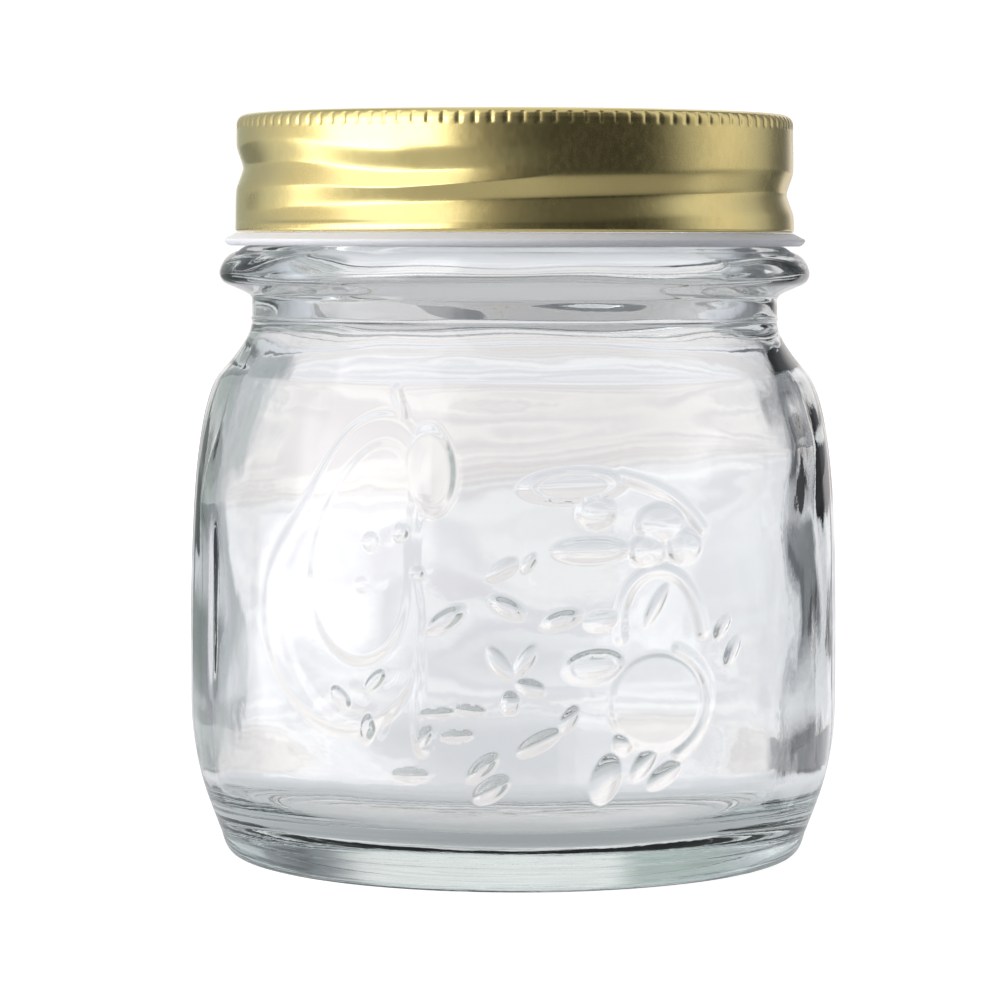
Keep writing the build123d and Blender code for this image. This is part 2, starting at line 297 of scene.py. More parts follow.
RIDGES = [                             # thin ridges, each a cubic curve
    [(-15.4, 61.2), (-14.8, 60.0), (-14.2, 58.8), (-14.0, 57.4)],
    [(19.8, 29.8), (24.6, 27.6), (25.4, 21.0), (19.6, 16.8)],
    [(12.9, 31.6), (11.8, 41.2), (21.8, 43.4), (23.0, 31.4)],
    [(-11.6, 30.0), (-10.6, 26.0), (-12.8, 22.0), (-10.8, 17.6)],
    [(13.2, 51.0), (17.0, 50.0), (20.8, 48.6), (23.2, 44.0)],
]
PEAR_STEP, PEAR_CROWN, PEAR_INNER = 0.30, 0.16, 0.16
LOBE_STEP, LOBE_CROWN = 0.40, 0.22
DOME_STEP, DOME_CROWN = 0.24, 0.46
LEAF_STEP, LEAF_HOLLOW, LEAF_CROWN = 0.58, 0.16, 0.30
SEED_CROWN = 0.44
RIDGE_WIDTH, RIDGE_HEIGHT = 1.0, 0.26


def oval(x, z, shape):
    """How far inside an oval, in mm, and its 0 to 1 distance from the middle."""
    cx, cz, a, b, turn = shape
    c, s = math.cos(math.radians(turn)), math.sin(math.radians(turn))
    dx, dz = x - cx, z - cz
    q = np.sqrt(((dx * c + dz * s) / a) ** 2 + ((dz * c - dx * s) / b) ** 2)
    return (1 - q) * min(a, b), q


def pillow(q, height):
    """A domed oval with a soft foot."""
    s = np.clip(1 - q * q, 0, 1)
    return height * s ** 0.8


def ridge(x, z, points, width, height):
    """A rounded cord through a few points."""
    near = np.full(np.broadcast(x, z).shape, 99.0)
    for (ax, az), (bx, bz) in zip(points, points[1:]):
        run_x, run_z = bx - ax, bz - az
        t = ((x - ax) * run_x + (z - az) * run_z) / (run_x ** 2 + run_z ** 2)
        t = np.clip(t, 0, 1)
        near = np.minimum(near, np.hypot(x - ax - t * run_x, z - az - t * run_z))
    return height * (1 - smooth(near, 0.1, width))


def soft_union(a, b, k):
    """The greater of two depths, with a fillet of about k where they meet."""
    h = np.clip(0.5 + 0.5 * (a - b) / k, 0, 1)
    return b + (a - b) * h + k * h * (1 - h)


def relief(x, z):
    """Height of the relief in mm, seen from the front."""
    pear = soft_union(oval(x, z, PEAR[0])[0], oval(x, z, PEAR[1])[0], 5.0)
    inside = soft_union(oval(x, z, PEAR_INSIDE[0])[0], oval(x, z, PEAR_INSIDE[1])[0], 4.0)
    h = PEAR_STEP * smooth(pear, 0, 1.1) + PEAR_CROWN * smooth(pear, 1.5, 9.0)
    h = h + PEAR_INNER * smooth(inside, 0, 1.0)
    lobed = oval(x, z, LOBES[0])[0]
    for shape in LOBES[1:]:
        lobed = soft_union(lobed, oval(x, z, shape)[0], 0.5)
    lobes = LOBE_STEP * smooth(lobed, 0, 0.9) + LOBE_CROWN * smooth(lobed, 0.4, 2.4)
    h = np.maximum(h, lobes)
    for shape in DOMES:
        depth, q = oval(x, z, shape)
        h = np.maximum(h, DOME_STEP * smooth(depth, 0, 1.0) + pillow(q, DOME_CROWN))
    for shape in LEAVES:
        depth, q = oval(x, z, shape)
        body = LEAF_STEP * smooth(depth, 0, 0.8)
        hollow = LEAF_HOLLOW * smooth(depth, 0.55, 0.9)
        h = np.maximum(h, body - hollow + pillow(q * 1.7, LEAF_CROWN))
    for shape in SEEDS:
        h = np.maximum(h, pillow(oval(x, z, shape)[1], SEED_CROWN))
    for points in RIDGES:
        h = np.maximum(h, ridge(x, z, bezier(points, 0.5), RIDGE_WIDTH, RIDGE_HEIGHT))
    return h


# ------------------------------------------------------------------ glass jar
def jar_outline():
    """The jar's outline from the middle of the base, up the outside, over the
    rim and down the inside to the middle of the floor."""
    fine, mid, coarse = 0.25, 0.45, 1.2
    outside = [
        path([(0, 1.8), (10, 1.76), (22, 1.55), (31, 1.2)], 3.0),
        bezier([(31, 1.2), (32.2, 1.15), (32.6, 0), (34, 0)], 0.35),
        line((34, 0), (35.6, 0), 0.5),
        bezier([(35.6, 0), (37, 0), (37.6, 1), (38.05, 3.1)], 0.3),
        bezier([(38.05, 3.1), (38.08, 3.2), (38.14, 3.24), (38.22, 3.36)], 0.08),
        bezier([(38.22, 3.36), (39.3, 6.4), (BODY_R, 11.5), (BODY_R, 20)], fine),
        line((BODY_R, 20), (BODY_R, 28), fine),
        bezier([(BODY_R, 28), (BODY_R, 40.4), (41.39, 58.45), (37.74, 62.46)], fine),
        bezier([(37.74, 62.46), (36.38, 63.95), (NECK_R, 66.9), (NECK_R, 68.95)], fine),
        bezier([(NECK_R, 68.95), (34.0, 69.1), (34.12, 69.1), (34.12, 69.2)], 0.07),
        bezier([(34.12, 69.2), (34.12, 69.3), (34.0, 69.3), (NECK_R, 69.45)], 0.07),
        line((NECK_R, 69.45), (NECK_R, 71.6), 0.3),
        bezier([(NECK_R, 71.6), (NECK_R, 72.3), (34.6, 72.5), (37.2, 73.6)], 0.25),
        arc((37.2, 73.6), (37.92, 74.3), (38.1, 75.2), 0.2),
        arc((38.1, 75.2), (37.35, 76.8), (35.7, 77.85), 0.2),
        bezier([(35.7, 77.85), (35.2, 78.2), (34.8, BEAD_TOP), (34.3, BEAD_TOP)], 0.25),
        bezier([(34.3, BEAD_TOP), (33.8, BEAD_TOP), (FINISH_R, 78.6), (FINISH_R, 79.1)], 0.2),
        line((FINISH_R, 79.1), (FINISH_R, RIM_Z - 1.3), fine),
        arc((FINISH_R, RIM_Z - 1.3), (33.22, RIM_Z - 0.38), (32.3, RIM_Z), 0.2),
        line((32.3, RIM_Z), (30.8, RIM_Z), 0.5),
        arc((30.8, RIM_Z), (29.95, RIM_Z - 0.35), (29.6, RIM_Z - 1.2), 0.2),
    ]
    inside = [
        line((29.6, RIM_Z - 1.2), (28.5, 76), coarse),
        bezier([(28.5, 76), (28.2, 71.5), (30.6, 68.5), (32.4, 64.5)], 0.5),
        bezier([(32.4, 64.5), (34, 60.5), (CAVITY_R, 56), (CAVITY_R, 45)], 0.6),
        line((CAVITY_R, 45), (CAVITY_R, 14), 0.7),
        bezier([(CAVITY_R, 14), (CAVITY_R, 8), (34.5, 5.4), (27.5, 5.2)], mid),
        path([(27.5, 5.2), (14, 4.98), (0.01, 4.9)], 1.6),
        np.array([(0, 4.9)]),
    ]
    outer = np.vstack(outside)
    inner = np.vstack(inside)
    side = np.concatenate([np.zeros(len(outer)), np.ones(len(inner))])
    outline = np.vstack([outer, inner])
    return outline[:, 0], outline[:, 1], side


def jar_columns():
    """Angles round the jar, close together on the front where the relief is."""
    fine = np.arange(-FINE_ARC, FINE_ARC, FINE_STEP)
    rest = 360 - 2 * FINE_ARC
    wide = FINE_ARC + rest * np.linspace(0, 1, round(rest / COARSE_STEP), endpoint=False)
    return FRONT + np.radians(np.concatenate([fine, wide]))


def front_relief(theta, around, z, side):
    """The relief, on the rows and columns that carry it."""
    lift = np.zeros((len(z), theta.shape[1]))
    rows = np.flatnonzero((side[:, 0] == 0) & (z[:, 0] > 6) & (z[:, 0] < 64))
    cols = np.flatnonzero(np.abs(around[0]) < 0.9)
    low_z = z[rows]
    shown = smooth(low_z, 6.0, 9.0) * (1 - smooth(low_z, 61.5, 63.5))
    lift[np.ix_(rows, cols)] = shown * relief(BODY_R * np.sin(around[:, cols]), low_z)
    return lift


def press_outside(lift, theta, around, z, outer):
    """Adds the mould seams and the ripples of pressed glass."""
    wall = smooth(z, 4.0, 9.0) * (1 - smooth(z, 60.0, 68.0))
    for seam in MOULD_SEAMS:
        gap = np.abs((around - math.radians(seam) + math.pi) % TAU - math.pi) * BODY_R
        lift = lift + outer * SEAM_HEIGHT * np.exp(-(gap / SEAM_WIDTH) ** 2) * wall
    lift = lift + outer * wall * 0.018 * waves(theta, z, 3, 20, (3, 18), (12, 34))
    neck = smooth(z, 62, 66) * (1 - smooth(z, 77, 78.4))
    return lift + outer * neck * 0.03 * waves(theta, z, 5, 18, (3, 20), (5, 12))


def press_inside(lift, theta, around, r, z, side):
    """Adds the plunger side: uneven wall, slow swells and faint upright streaks."""
    depth = side * smooth(r + 0 * theta, 20.0, 34.0) * (1 - smooth(z, 66.0, 76.0))
    lean = 1 - 0.75 * smooth(z, 43, 56)
    lift = lift - depth * lean * INSIDE_SHIFT * np.cos(theta)
    lift = lift + depth * SWELL * waves(theta, z, 21, 18, (1, 6), (22, 60))
    lift = lift + depth * 0.022 * waves(theta, z, 22, 22, (10, 36), (18, 70))
    streak = np.abs(around - math.radians(STREAK_AT)) * CAVITY_R
    height = smooth(z, 20, 30) * (1 - smooth(z, 36, 46))
    lift = lift - depth * STREAK_DEPTH * np.exp(-(streak / STREAK_WIDTH) ** 2) * height
    collar = side * smooth(z, 60, 66) * (1 - smooth(z, 74, 80))
    return lift + collar * 0.16 * waves(theta, z, 23, 20, (2, 9), (5, 11))


def make_jar():
    r, z, side = [values[:, None] for values in jar_outline()]
    theta = jar_columns()[None, :]
    around = (theta - FRONT + math.pi) % TAU - math.pi
    outer = 1 - side

    lift = front_relief(theta, around, z, side)
    lift = press_outside(lift, theta, around, z, outer)
    lift = press_inside(lift, theta, around, r, z, side)
    crest = thread_height(theta, z, **GLASS_THREAD)
    lift = lift + outer * THREAD_DEPTH * crest * smooth(z, 78.8, 80.0)

    # neither the floor inside nor the ring it stands on is quite even
    rr = np.where(r < 0.02, 0.0, r + lift)
    floor = side * (1 - smooth(z, 5.0, 7.5)) * smooth(30 - r, 0, 6) * smooth(r, 0, 4)
    zz = z + floor * 0.12 * waves(theta, r, 31, 16, (1, 7), (8, 26)) + 0 * theta
    under = outer * (1 - smooth(z, 1.0, 2.2)) * (1 - smooth(r, 31.5, 33.5)) * smooth(r, 0, 4)
    zz = zz + under * 0.06 * waves(theta, r, 33, 14, (1, 9), (6, 20))
    return mesh_object("jar_glass", spin(rr, zz, theta), poles=(True, True))


# ----------------------------------------------------------------- screw band
def band_outline():
    """One sheet all the way: out from the curl, up, over the corner and back."""
    low, top, sheet = BAND_LOW, BAND_TOP, BAND_SHEET
    r_low, r_top = BAND_R, BAND_R - BAND_TAPER
    open_r, curl_r = 30.8, 35.32
    cz, cr = top - BAND_CORNER, r_top - BAND_CORNER
    k = math.sqrt(0.5)
    inner = BAND_CORNER - sheet
    return np.vstack([
        arc((curl_r + 0.37, low), (r_low - 0.11, low + 0.14), (r_low, low + 0.5), 0.1),
        line((r_low, low + 0.5), (r_top, cz - 0.8), 0.14),
        line((r_top, cz - 0.8), (r_top, cz), 0.14),
        arc((r_top, cz), (cr + BAND_CORNER * k, cz + BAND_CORNER * k), (cr, top), 0.12),
        line((cr, top), (open_r + 0.14, top), 0.4),
        arc((open_r + 0.14, top), (open_r, top - sheet / 2), (open_r + 0.14, top - sheet), 0.08),
        line((open_r + 0.14, top - sheet), (cr, top - sheet), 0.5),
        arc((cr, top - sheet), (cr + inner * k, cz + inner * k), (r_top - sheet, cz), 0.25),
        line((r_top - sheet, cz), (r_low - sheet, low + 1.15), 0.22),
        arc((r_low - sheet, low + 1.15), (curl_r + 0.42, low + 1.0),
            (curl_r + 0.12, low + 0.8), 0.12),
        arc((curl_r + 0.12, low + 0.8), (curl_r, low + 0.42), (curl_r + 0.37, low), 0.12),
    ])


def make_band():
    outline = band_outline()
    r, z = outline[:, 0][:, None], outline[:, 1][:, None]
    theta = np.linspace(0, TAU, BAND_COLUMNS, endpoint=False)[None, :]
    low, shoulder = BAND_LOW, BAND_TOP - BAND_CORNER
    wall = smooth(z, low + 0.9, low + 1.5) * (1 - smooth(z, shoulder - 0.6, shoulder))
    groove = thread_height(theta, z, **BAND_GROOVE)
    # narrow flutes pressed round the top corner
    turn = (theta * FLUTES / TAU) % 1.0 - 0.5
    across = turn * TAU * (BAND_R - BAND_TAPER) / FLUTES
    tall = smooth(z, BAND_TOP - 2.1, BAND_TOP - 1.6)
    tall = tall * (1 - smooth(z, BAND_TOP - 0.55, BAND_TOP - 0.3))
    varied = 1 + 0.18 * waves(theta, 0 * z, 41, 12, (3, 40), (10, 20))
    flute = np.exp(-(across / FLUTE_WIDTH) ** 2) * tall * varied
    outwards = smooth(r, 34.3, 34.9)
    dents = DENT * waves(theta, z, 42, 16, (2, 9), (8, 30)) * smooth(z, low + 1, low + 3)
    dents = dents * (1 - smooth(z, shoulder - 1, shoulder))
    rr = r - GROOVE_DEPTH * groove * wall - FLUTE_DEPTH * flute * outwards + dents * outwards
    return mesh_object("screw_band_gold", spin(rr, z, theta), loop=True, sharp=60)


# ------------------------------------------------------------- lid and seals
def lid_line(drop):
    """The lid's upper surface from its middle to its lip, moved in by drop."""
    top, panel = LID_TOP - drop, PANEL_Z - drop
    out = LID_R - drop
    corner = 0.4 - drop
    k = math.sqrt(0.5)
    return [
        arc((0.01, panel + 0.55), (6.25, panel + 0.41), (12.3, panel + 0.03), 0.6),
        bezier([(12.3, panel + 0.03), (12.6, panel), (12.9, panel), (13.4, panel)], 0.25),
        line((13.4, panel), (20.4, panel), 1.2),
        arc((20.4, panel), (22.0, panel + 0.25), (23.6, panel), 0.3),
        line((23.6, panel), (28.3, panel), 1.0),
        bezier([(28.3, panel), (28.8, panel), (29.1, top), (29.6, top)], 0.12),
        line((29.6, top), (out - corner, top), 0.8),
        arc((out - corner, top), (out - corner + corner * k, top - corner + corner * k),
            (out, top - corner), 0.1),
        line((out, top - corner), (out, LIP_Z), 0.25),
    ]


def make_lid():
    upper = np.vstack(lid_line(0) + [np.array([(LID_R, LIP_Z)])])
    lower = np.vstack(lid_line(LID_SHEET) + [np.array([(LID_R - LID_SHEET, LIP_Z)])])
    # walk from the underside's middle out to the lip and back over the top
    outline = np.vstack([
        np.array([(0, lower[0, 1])]), lower, upper[::-1], np.array([(0, upper[0, 1])]),
    ])
    theta = np.linspace(0, TAU, LID_COLUMNS, endpoint=False)[None, :]
    r, z = outline[:, 0][:, None], outline[:, 1][:, None]
    sag = 0.03 * waves(theta, r, 51, 12, (1, 5), (10, 30))
    sag = sag * smooth(28 - r, 0, 5) * smooth(r, 0, 3)
    return mesh_object("lid_disc_gold", spin(r, z + sag, theta), poles=(True, True))


def make_compound():
    low, top = 94.22, 94.72
    outline = np.vstack([
        bezier([(29.95, top), (30.0, 94.4), (30.2, low), (30.6, low)], 0.1),
        line((30.6, low), (33.2, low), 0.4),
        bezier([(33.2, low), (33.6, low), (33.8, 94.4), (33.85, top)], 0.1),
        line((33.85, top), (29.95, top), 0.5),
    ])
    theta = np.linspace(0, TAU, LID_COLUMNS, endpoint=False)[None, :]
    r, z = outline[:, 0][:, None], outline[:, 1][:, None]
    underside = 1 - smooth(z, 94.25, 94.6)
    wobble = 0.02 * (1 + waves(theta, r, 61, 16, (3, 30), (3, 9))) * underside
    return mesh_object("seal_compound", spin(r, z + np.clip(wobble, 0, 0.08), theta), loop=True)


def make_ring():
    low, top, hole = 78.53, 80.2, 33.68
    outline = np.vstack([
        bezier([(hole, 78.9), (hole, 78.62), (33.8, low), (34.1, low)], 0.12),
        line((34.1, low), (36.7, low), 0.4),
        bezier([(36.7, low), (37.0, low), (37.44, 79.0), (37.48, 79.2)], 0.1),
        bezier([(37.48, 79.2), (37.5, 79.34), (37.4, 79.42), (37.3, 79.46)], 0.06),
        line((37.3, 79.46), (36.1, 80.1), 0.25),
        bezier([(36.1, 80.1), (35.95, 80.18), (35.8, top), (35.5, top)], 0.12),
        line((35.5, top), (33.9, top), 0.4),
        bezier([(33.9, top), (33.75, top), (hole, 80.1), (hole, 79.9)], 0.1),
        line((hole, 79.9), (hole, 78.9), 0.3),
    ])
    theta = np.linspace(0, TAU, RING_COLUMNS, endpoint=False)[None, :]
    r, z = outline[:, 0][:, None], outline[:, 1][:, None]
    edge = smooth(r, 36.0, 37.4)
    rr = r + 0.03 * waves(theta, 0 * z, 71, 14, (2, 24), (10, 20)) * edge
    zz = z + 0.02 * waves(theta, 0 * z, 72, 10, (2, 9), (10, 20)) * edge
    return mesh_object("neck_ring_white", spin(rr, zz, theta), loop=True)


# ------------------------------------------------------------------ materials
class Nodes:
    """Short names for building a node tree."""

    def __init__(self, tree):
        self.tree = tree
        tree.nodes.clear()

    def add(self, kind, **values):
        node = self.tree.nodes.new(kind)
        for key, value in values.items():
            self.put(node.inputs[key], value)
        return node

    def put(self, socket, value):
        if isinstance(value, bpy.types.NodeSocket):
            self.tree.links.new(value, socket)
        else:
            socket.default_value = value

    def math(self, operation, a, b=0.0):
        node = self.tree.nodes.new("ShaderNodeMath")
        node.operation = operation
        self.put(node.inputs[0], a)
        self.put(node.inputs[1], b)
        return node.outputs[0]

    def vector(self, operation, a, b):
        """Vector maths; for SCALE, b is the factor."""
        node = self.tree.nodes.new("ShaderNodeVectorMath")
        node.operation = operation
        self.put(node.inputs[0], a)
        self.put(node.inputs["Scale" if operation == "SCALE" else 1], b)
        return node.outputs[0]

    def length(self, x, y):
        return self.math("SQRT", self.math(
            "ADD", self.math("MULTIPLY", x, x), self.math("MULTIPLY", y, y)))

    def choose(self, factor, first, second):
        """The first shader where factor is 0, the second where it is 1."""
        node = self.tree.nodes.new("ShaderNodeMixShader")
        for socket, value in zip(node.inputs, (factor, first, second)):
            self.put(socket, value)
        return node.outputs[0]

    def range(self, value, low, high, to_low=0.0, to_high=1.0, kind="SMOOTHSTEP"):
        node = self.tree.nodes.new("ShaderNodeMapRange")
        node.interpolation_type = kind
        for name, v in (("Value", value), ("From Min", low), ("From Max", high),
                        ("To Min", to_low), ("To Max", to_high)):
            self.put(node.inputs[name], v)
        return node.outputs[0]

    def noise(self, vector, scale, detail=3.0, rough=0.5, distortion=0.0):
        node = self.tree.nodes.new("ShaderNodeTexNoise")
        for name, v in (("Vector", vector), ("Scale", scale), ("Detail", detail),
                        ("Roughness", rough), ("Distortion", distortion)):
            self.put(node.inputs[name], v)
        return node.outputs["Fac"]

    def stretch(self, vector, scale):
        node = self.tree.nodes.new("ShaderNodeMapping")
        self.put(node.inputs["Vector"], vector)
        self.put(node.inputs["Scale"], scale)
        return node.outputs[0]

    def mix(self, factor, a, b):
        node = self.tree.nodes.new("ShaderNodeMix")
        node.data_type = "RGBA"
        self.put(node.inputs[0], factor)
        self.put(node.inputs[6], a)
        self.put(node.inputs[7], b)
        return node.outputs[2]

    def bump(self, height, strength, distance, normal=None):
        node = self.tree.nodes.new("ShaderNodeBump")
        self.put(node.inputs["Height"], height)
        self.put(node.inputs["Strength"], strength)
        self.put(node.inputs["Distance"], distance)
        if normal is not None:
            self.put(node.inputs["Normal"], normal)
        return node.outputs[0]

    def cylinder_coords(self, radius):
        """Object position, the same as (arc length, height, radius), and its parts."""
        pos = self.add("ShaderNodeTexCoord").outputs["Object"]
        xyz = self.add("ShaderNodeSeparateXYZ", Vector=pos).outputs
        turn = self.math("ARCTAN2", xyz[1], xyz[0])
        arc_len = self.math("MULTIPLY", turn, radius)
        out = self.add("ShaderNodeCombineXYZ", X=arc_len, Y=xyz[2], Z=self.length(xyz[0], xyz[1]))
        return pos, out.outputs[0], xyz


def new_material(name):
    mat = bpy.data.materials.new(name)
    mat.use_nodes = True
    return mat, Nodes(mat.node_tree)


def finish_material(n, shader, volume=None):
    out = n.add("ShaderNodeOutputMaterial")
    n.put(out.inputs["Surface"], shader)
    if volume is not None:
        n.put(out.inputs["Volume"], volume)


def glass_material():
    mat, n = new_material("clear_glass")
    pos, flat, _ = n.cylinder_coords(0.0418)
    broad = n.noise(n.stretch(flat, (1.0, 0.5, 1.0)), 160.0, 2.0, 0.5, 0.3)
    fine = n.noise(pos, 900.0, 3.0, 0.55)
    normal = n.bump(broad, 0.06, 0.0006)
    normal = n.bump(fine, 0.02, 0.0002, normal)
    haze = n.range(n.noise(pos, 55.0, 4.0, 0.6), 0.45, 0.8, 0.0, 0.035)
    bsdf = n.add(
        "ShaderNodeBsdfPrincipled", **{
            "Base Color": (0.992, 0.994, 0.997, 1), "IOR": 1.52,
            "Transmission Weight": 1.0, "Roughness": haze, "Normal": normal,
            "Specular IOR Level": 0.4,
        })
    absorb = n.add("ShaderNodeVolumeAbsorption", Color=(0.74, 0.86, 0.83, 1), Density=10.0)
    finish_material(n, bsdf.outputs[0], absorb.outputs[0])
    return mat


ENAMEL_GLOW = 0.28           # stands in for light the glass focuses on the lining


def brushed_gold(n, pos, flat, speck, cloud, tone, dark, radial):
    """Lacquered sheet with fine grain, cloudy tone and rubbed streaks."""
    if radial:
        grain_at = n.stretch(pos, (900.0, 60.0, 900.0))
    else:
        grain_at = n.stretch(flat, (1500.0, 800.0, 800.0))
    grain = n.noise(grain_at, 1.0, 3.0, 0.6)
    tint = n.mix(n.range(cloud, 0.3, 0.72), tone, dark)
    scratch = n.noise(n.stretch(flat, (60.0, 1500.0, 60.0)), 1.0, 4.0, 0.7)
    rubbed = n.range(scratch, 0.66, 0.72)
    rough = n.math("ADD", n.range(grain, 0.25, 0.75, 0.20, 0.27),
                   n.math("MULTIPLY", rubbed, 0.08))
    rough = n.math("ADD", rough, n.range(cloud, 0.35, 0.7, -0.02, 0.04))
    normal = n.bump(grain, 0.05, 0.00003)
    normal = n.bump(speck, 0.12, 0.00003, normal)
    normal = n.bump(scratch, 0.06, 0.00004, normal)
    return n.add(
        "ShaderNodeBsdfPrincipled", **{
            "Base Color": tint, "Metallic": 1.0, "Roughness": rough, "Normal": normal,
            "Coat Weight": 0.25, "Coat Roughness": 0.12, "Coat IOR": 1.5,
            "Coat Tint": (1.0, 0.93, 0.70, 1),
        }).outputs[0]


def white_enamel(n, speck, cloud):
    return n.add(
        "ShaderNodeBsdfPrincipled", **{
            "Base Color": n.mix(cloud, (0.90, 0.89, 0.89, 1), (0.84, 0.83, 0.84, 1)),
            "Roughness": n.range(cloud, 0.3, 0.7, 0.28, 0.4),
            "Normal": n.bump(speck, 0.15, 0.00004),
            "Emission Color": (1.0, 0.99, 1.0, 1), "Emission Strength": ENAMEL_GLOW,
        }).outputs[0]


def gold_material(name, tone, dark, radial=False):
    """Gold outside; the side that faces the glass carries a white enamel."""
    mat, n = new_material(name)
    pos, flat, xyz = n.cylinder_coords(0.036)
    speck = n.noise(pos, 2600.0, 2.0, 0.5)
    cloud = n.noise(pos, 70.0, 3.0, 0.55)
    metal = brushed_gold(n, pos, flat, speck, cloud, tone, dark, radial)
    enamel = white_enamel(n, speck, cloud)
    facing = n.add("ShaderNodeSeparateXYZ", Vector=n.add("ShaderNodeTexCoord").outputs["Normal"])
    out_x = n.math("MULTIPLY", xyz[0], facing.outputs[0])
    out_y = n.math("MULTIPLY", xyz[1], facing.outputs[1])
    inward = n.math("LESS_THAN", n.math("ADD", out_x, out_y), -0.02)
    down = n.math("LESS_THAN", facing.outputs[2], -0.9)
    finish_material(n, n.choose(n.math("MAXIMUM", inward, down), metal, enamel))
    return mat


def ring_material():
    mat, n = new_material("white_ring")
    pos = n.add("ShaderNodeTexCoord").outputs["Object"]
    cloud = n.noise(pos, 120.0, 4.0, 0.6)
    grain = n.noise(pos, 2400.0, 3.0, 0.6)
    tint = n.mix(n.range(cloud, 0.35, 0.7), (0.93, 0.94, 1.0, 1), (0.90, 0.91, 0.97, 1))
    normal = n.bump(grain, 0.25, 0.00005)
    normal = n.bump(cloud, 0.15, 0.0003, normal)
    bsdf = n.add(
        "ShaderNodeBsdfPrincipled", **{
            "Base Color": tint, "Roughness": n.range(cloud, 0.3, 0.7, 0.38, 0.52),
            "Normal": normal, "Subsurface Weight": 0.35,
            "Subsurface Radius": (0.9, 0.85, 0.85), "Subsurface Scale": 0.0012,
        })
    finish_material(n, bsdf.outputs[0])
    return mat


def compound_material():
    mat, n = new_material("seal_compound")
    pos = n.add("ShaderNodeTexCoord").outputs["Object"]
    cloud = n.noise(pos, 260.0, 4.0, 0.6)
    grain = n.noise(pos, 3000.0, 3.0, 0.6)
    tint = n.mix(n.range(cloud, 0.3, 0.7), (0.40, 0.38, 0.34, 1), (0.33, 0.31, 0.28, 1))
    normal = n.bump(grain, 0.3, 0.00005)
    bsdf = n.add(
        "ShaderNodeBsdfPrincipled", **{
            "Base Color": tint, "Roughness": n.range(cloud, 0.3, 0.7, 0.5, 0.65),
            "Normal": normal,
        })
    finish_material(n, bsdf.outputs[0])
    return mat


# ---------------------------------------------------------------- floor, light
WHITE = (1.0, 1.0, 1.0)
GREEN = (0.88, 1.01, 0.98)
COOL = (0.92, 0.98, 1.06)
OPEN = None                  # no wall on this side: the floor's own tone shows
# The studio seen from the jar: degrees round from the camera's side (right is
# positive), brightness of the walls, brightness of the far floor, tone.
ROOM = [
    (-180, 1.00, OPEN, WHITE), (-168, 0.98, OPEN, WHITE),
    (-162, 0.55, 0.30, GREEN), (-146, 0.48, 0.23, GREEN),
    (-136, 0.48, 0.25, COOL), (-127, 0.58, 0.50, COOL), (-119, 0.68, 0.66, COOL),
    (-104, 0.80, 0.80, WHITE), (-95, 0.88, 2.6, WHITE), (-88, 1.1, 3.4, WHITE),
    (-80, 3.2, 3.4, WHITE), (-46, 3.2, 3.4, WHITE), (-39, 3.2, 0.8, WHITE),
    (-31, 3.2, 0.7, WHITE), (-24, 0.55, 0.60, WHITE), (-12, 0.22, 0.30, WHITE),
    (0, 0.10, 0.16, COOL), (16, 0.045, 0.08, COOL), (54, 0.04, 0.07, COOL),
    (62, 0.10, 0.11, COOL), (70, 0.34, 0.20, COOL), (78, 0.70, 0.30, COOL),
    (88, 0.88, 0.34, WHITE), (104, 0.84, 0.42, WHITE),
    (114, 0.72, 0.48, COOL), (125, 0.52, 0.30, COOL),
    (131, 0.20, 0.11, COOL), (146, 0.14, 0.10, COOL),
    (151, 0.30, OPEN, COOL), (161, 0.98, OPEN, WHITE), (180, 1.00, OPEN, WHITE),
]
ROOM_PEAK = 3.4              # the brightest value in ROOM
CEILING = (0.62, 0.62, 0.64)
WINDOW_TOP = (0.20, 0.36)    # sine of the elevation where the window ends
WINDOW_OVER = 1.65           # brightest wall above it
UPPER_LIFT = 0.06            # added to the upper half of the room
# tone of the wall by height, as the sine of the elevation
WALL_TONE = [
    (-1.0, (0.96, 0.94, 0.92)), (0.10, (0.94, 0.92, 0.91)), (0.24, (0.91, 0.89, 0.89)),
    (0.50, (0.88, 0.87, 0.88)), (1.0, (0.80, 0.79, 0.81)),
]
# tone of the floor behind the jar by distance from the axis in metres; the dark stops under the
# jar are a painted shadow, brightening outwards
FLOOR_TONE = [
    (0.0, (0.42, 0.45, 0.46)), (0.034, (0.44, 0.47, 0.48)), (0.046, (0.66, 0.68, 0.70)),
    (0.09, (0.75, 0.76, 0.79)), (0.17, (0.83, 0.84, 0.87)), (0.27, (0.92, 0.93, 0.96)),
    (0.41, (0.94, 0.95, 0.97)), (0.61, (0.90, 0.90, 0.915)), (0.75, (0.885, 0.88, 0.88)),
    (0.92, (0.875, 0.86, 0.86)), (1.14, (0.885, 0.865, 0.855)), (1.5, (0.905, 0.88, 0.86)),
]
CLOUDS = (6.0, 40.0)         # cloudiness of the backdrop, round and up
CLOUD_LOW = (0.90, 0.88, 0.895)
CLOUD_HIGH = (1.05, 1.045, 1.03)
FRONT_SHADE = 0.55             # painted shade on the sheet on the camera's side, against behind the jar
RIGHT_SHADE = 0.36             # the same painted shade, at its right
# metres from the axis where the pale sheet ends and where the room's floor begins
FRONT_FLOOR = (0.14, 0.42)   # on the camera's side
BACK_FLOOR = (0.10, 0.29)    # behind the jar
WALL_FLOOR = (1.1, 2.0)      # from here on the floor mirrors the walls
SIDE = 0.040                 # metres from the axis to the jar's side walls
PAPER_GLOW = 0.93            # what the camera sees of the floor
BACKDROP_GLOW = 1.05         # and of the backdrop


